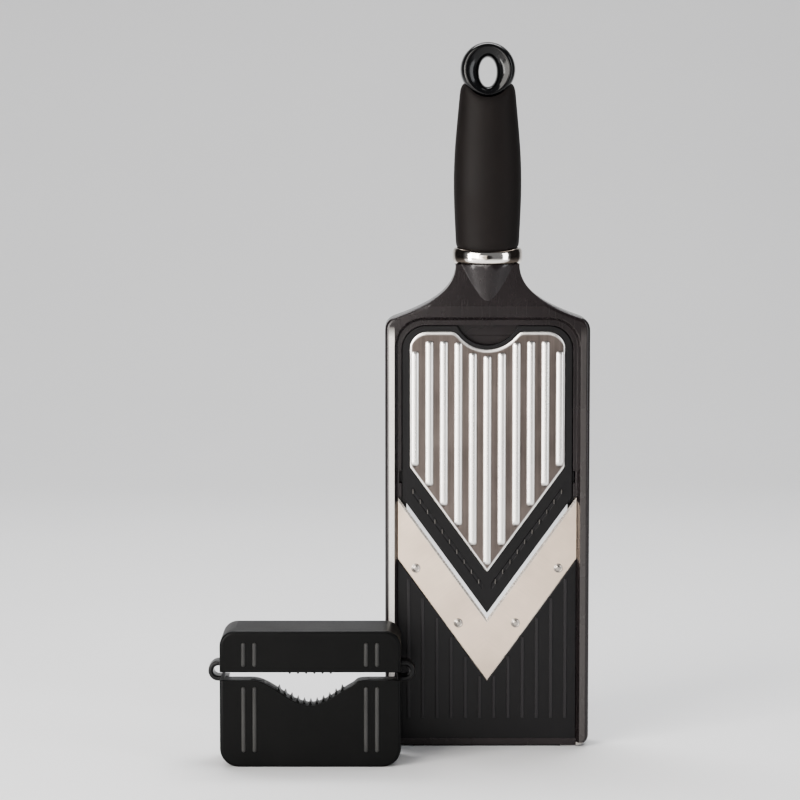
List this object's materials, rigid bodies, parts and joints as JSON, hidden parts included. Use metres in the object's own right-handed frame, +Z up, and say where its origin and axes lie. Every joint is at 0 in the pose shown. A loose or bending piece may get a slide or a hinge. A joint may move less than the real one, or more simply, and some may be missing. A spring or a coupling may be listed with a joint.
{
  "type": "mandoline slicer",
  "caption": "Hand-held V-blade mandoline slicer with a reversible ridged insert, a soft handle with a hanging hole, and a separate sprung food holder.",
  "frame": {"origin": "Middle of the slicer's standing end, on the surface it stands on.", "axes": "+Z points up from the standing end to the handle, +X runs across the slicer to the user's right, and the slicing deck faces -Y."},
  "size_m": [0.204, 0.0799, 0.38],
  "materials": {
    "frame_plastic": "Satin-gloss near-black moulding with a faint brown tint, slightly polished on the rail edges.",
    "deck_plastic": "Fine-ribbed near-black moulding, satin.",
    "blade_steel": "Satin stainless strip with a narrow polished bevel along the cutting edges.",
    "rivet_steel": "Turned stainless rivet heads.",
    "insert_plastic": "Near-black moulding, semi-matt.",
    "sheet_steel": "Polished stainless sheet with pressed ridges.",
    "tooth_steel": "Small upright stainless teeth.",
    "collar_chrome": "Bright chrome ring.",
    "cap_plastic": "High-gloss black ring around the hanging hole.",
    "grip_rubber": "Soft-touch dark brownish black, matt.",
    "tang_plastic": "Unfinished glass-filled core.",
    "screw_steel": "Zinc-plated cross-head screws.",
    "foot_rubber": "Soft black foot strip.",
    "holder_plastic": "Near-black moulding with a fine spark texture.",
    "jaw_plastic": "Toothed near-black edge, satin.",
    "holder_grip_rubber": "Raised soft bars, dark grey.",
    "spring_plastic": "Thin springy bends, satin."
  },
  "bodies": {
    "slicer": {"frame_body": "frame_plastic", "end_foot": "foot_rubber", "landing_deck": "deck_plastic", "v_blade": "blade_steel", "blade_rivets": "rivet_steel", "handle_collar": "collar_chrome", "handle_tang": "tang_plastic", "tang_screws": "screw_steel", "handle_grip": "grip_rubber", "handle_end_cap": "cap_plastic"},
    "insert": {"insert_carrier": "insert_plastic", "julienne_sheet": "sheet_steel", "slicing_sheet": "sheet_steel", "julienne_blades_left": "tooth_steel", "julienne_blades_right": "tooth_steel"},
    "holder_base": {"holder_lower_shell": "holder_plastic", "holder_lower_jaw": "jaw_plastic", "holder_lower_grips": "holder_grip_rubber", "holder_spring_left": "spring_plastic", "holder_spring_right": "spring_plastic"},
    "holder_top": {"holder_upper_shell": "holder_plastic", "holder_upper_jaw": "jaw_plastic", "holder_upper_grips": "holder_grip_rubber"}
  },
  "joints": [
    {"name": "insert_release", "type": "slide", "parent": "slicer", "child": "insert", "axis": [0, -1, 0], "range_m": [0, 0.045]},
    {"name": "holder_slide", "type": "slide", "parent": "slicer", "child": "holder_base", "axis": [1, 0, 0], "range_m": [-0.04, 0.094]},
    {"name": "holder_squeeze", "type": "slide", "parent": "holder_base", "child": "holder_top", "axis": [0, 0, -1], "range_m": [0, 0.0024], "stiffness_N_per_m": 1500, "springref_m": -0.0005, "deforming": ["holder_spring_left", "holder_spring_right"]}
  ]
}
